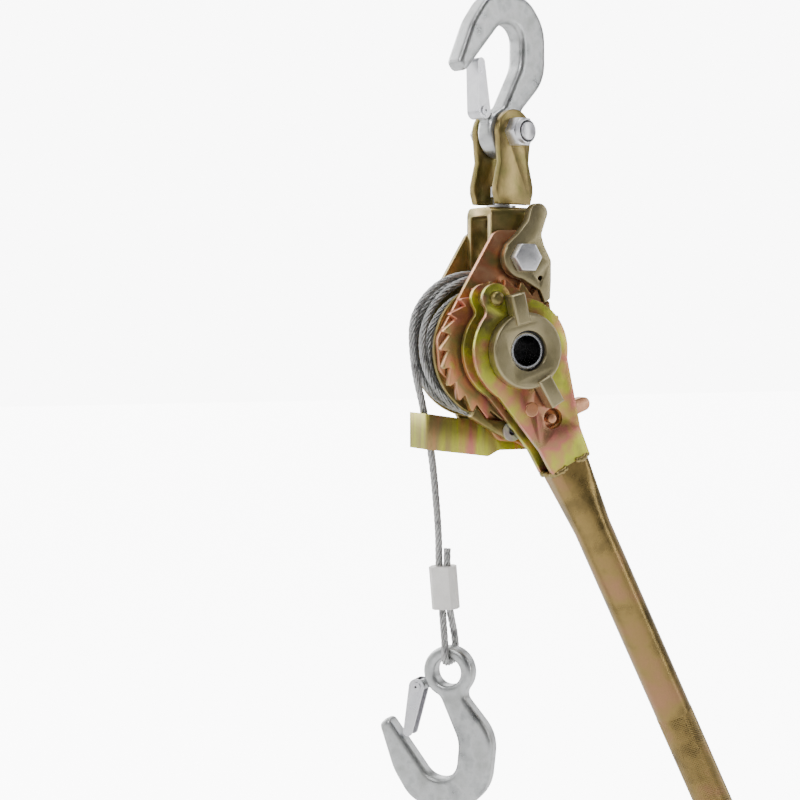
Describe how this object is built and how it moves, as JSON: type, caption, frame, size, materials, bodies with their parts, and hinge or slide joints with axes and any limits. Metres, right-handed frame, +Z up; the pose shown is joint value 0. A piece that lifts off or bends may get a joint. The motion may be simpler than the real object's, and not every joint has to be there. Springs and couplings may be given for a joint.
{
  "type": "come along winch",
  "caption": "Hand ratchet cable puller: swivelling top hook, side plates round a wire rope drum, toothed wheel and pawls, lever handle with knurled grip, and a load hook on a crimped rope loop.",
  "frame": {"origin": "The saddle of the top hook, where the winch hangs from its anchor.", "axes": "+Z is up towards the anchor, -Y is the front where the handle and the release disc are, and +X is to the right of someone who faces that front. The rope leaves on the -X side."},
  "size_m": [0.2674, 0.1056, 0.6318],
  "materials": {
    "zinc_forged": "bright zinc-plated forged steel",
    "zinc_bolt": "bright zinc-plated fastener",
    "nylon": "dark nylon insert",
    "yellow_zinc": "yellow chromate zinc plating, olive gold with faint rainbow",
    "pink_zinc": "yellow chromate zinc plating, salmon and gold",
    "tube_zinc": "yellow chromate zinc plating, bronze gold, knurled at the grip",
    "steel_axle": "turned steel, dark inside the bore",
    "black_oxide": "black oxide spring steel",
    "rope_steel": "galvanised stranded wire rope",
    "ferrule_alu": "pressed aluminium, matt",
    "plug_black": "black plastic"
  },
  "bodies": {
    "upper_hook": {"upper_hook": "zinc_forged", "upper_latch_pin": "zinc_bolt"},
    "upper_latch": {"upper_latch": "zinc_bolt"},
    "clevis": {"clevis": "yellow_zinc", "clevis_bolt": "zinc_bolt", "clevis_nut": "zinc_bolt", "clevis_nut_insert": "nylon"},
    "frame": {"swivel_stud": "zinc_bolt", "swivel_washer": "zinc_bolt", "swivel_nut": "zinc_bolt", "yoke": "yellow_zinc", "front_plate": "pink_zinc", "rear_plate": "yellow_zinc", "pawl_bolt": "zinc_bolt", "pawl_bolt_nut": "zinc_bolt", "pawl_nut_insert": "nylon", "pawl_washer": "zinc_bolt", "lower_tie": "zinc_bolt", "rear_tie": "yellow_zinc", "rope_guide": "pink_zinc", "rope_coil": "rope_steel", "rope_run": "rope_steel", "rope_tail": "rope_steel", "ferrule": "ferrule_alu", "rope_loop": "rope_steel"},
    "drum": {"drum": "yellow_zinc", "axle_tube": "steel_axle", "front_retaining_ring": "black_oxide", "rear_retaining_ring": "black_oxide", "plate_washer": "zinc_bolt", "fork_washer": "pink_zinc", "rear_washer": "zinc_bolt", "drive_washer_rear": "yellow_zinc", "drive_washer_front": "yellow_zinc", "holding_wheel": "pink_zinc", "drive_wheel": "yellow_zinc"},
    "handle": {"rear_fork_plate": "yellow_zinc", "front_fork_plate": "yellow_zinc", "ear_rivet": "zinc_bolt", "ear_spacer": "yellow_zinc", "drive_pawl_pin": "pink_zinc", "drive_pawl_spring": "black_oxide", "handle_tube": "tube_zinc", "end_plug": "plug_black"},
    "drive_pawl": {"drive_pawl": "pink_zinc"},
    "release_disc": {"release_disc": "yellow_zinc"},
    "holding_pawl": {"holding_pawl": "yellow_zinc"},
    "lower_pawl": {"lower_pawl": "yellow_zinc"},
    "lower_hook": {"lower_hook": "zinc_forged", "lower_latch_pin": "zinc_bolt"},
    "lower_latch": {"lower_latch": "zinc_bolt"}
  },
  "joints": [
    {"name": "upper_latch_swing", "type": "hinge", "parent": "upper_hook", "child": "upper_latch", "pos_m": [-0.02047, -0.00626, -0.0596], "axis": [-0.2924, 0.9563, 0], "range_deg": [0, 48], "stiffness_Nm_per_rad": 0.03, "springref_deg": -20.05},
    {"name": "clevis_tilt", "type": "hinge", "parent": "upper_hook", "child": "clevis", "pos_m": [0, 0, -0.0733], "axis": [0.2924, -0.9563, 0], "range_deg": [-60, 60]},
    {"name": "frame_swivel", "type": "hinge", "parent": "clevis", "child": "frame", "pos_m": [0, 0, -0.1218], "axis": [0, 0, 1], "continuous": true},
    {"name": "drum_spin", "type": "hinge", "parent": "frame", "child": "drum", "pos_m": [-0.013, 0, -0.2198], "axis": [0, -1, 0], "continuous": true},
    {"name": "handle_swing", "type": "hinge", "parent": "frame", "child": "handle", "pos_m": [-0.013, -0.0436, -0.2198], "axis": [0, -1, 0], "range_deg": [-15, 90]},
    {"name": "drive_pawl_lift", "type": "hinge", "parent": "handle", "child": "drive_pawl", "pos_m": [-0.0056, -0.0436, -0.2585], "axis": [0, -1, 0], "range_deg": [0, 12], "stiffness_Nm_per_rad": 0.06, "springref_deg": -20.05},
    {"name": "release_disc_turn", "type": "hinge", "parent": "handle", "child": "release_disc", "pos_m": [-0.013, -0.058, -0.2198], "axis": [0, -1, 0], "range_deg": [-20, 0]},
    {"name": "holding_pawl_lift", "type": "hinge", "parent": "frame", "child": "holding_pawl", "pos_m": [0, -0.028, -0.1583], "axis": [0, -1, 0], "range_deg": [0, 15], "stiffness_Nm_per_rad": 0.12, "springref_deg": -20.05},
    {"name": "lower_pawl_lift", "type": "hinge", "parent": "frame", "child": "lower_pawl", "pos_m": [-0.008, -0.027, -0.2738], "axis": [0, -1, 0], "range_deg": [0, 12], "stiffness_Nm_per_rad": 0.03, "springref_deg": -20.05},
    {"name": "lower_hook_swing", "type": "hinge", "parent": "frame", "child": "lower_hook", "pos_m": [-0.0384, 0, -0.4315], "axis": [-0.7314, -0.682, 0], "range_deg": [-45, 45]},
    {"name": "lower_latch_swing", "type": "hinge", "parent": "lower_hook", "child": "lower_latch", "pos_m": [-0.05382, 0.01654, -0.44939], "axis": [-0.7314, -0.682, 0], "range_deg": [0, 48], "stiffness_Nm_per_rad": 0.03, "springref_deg": -20.05}
  ]
}
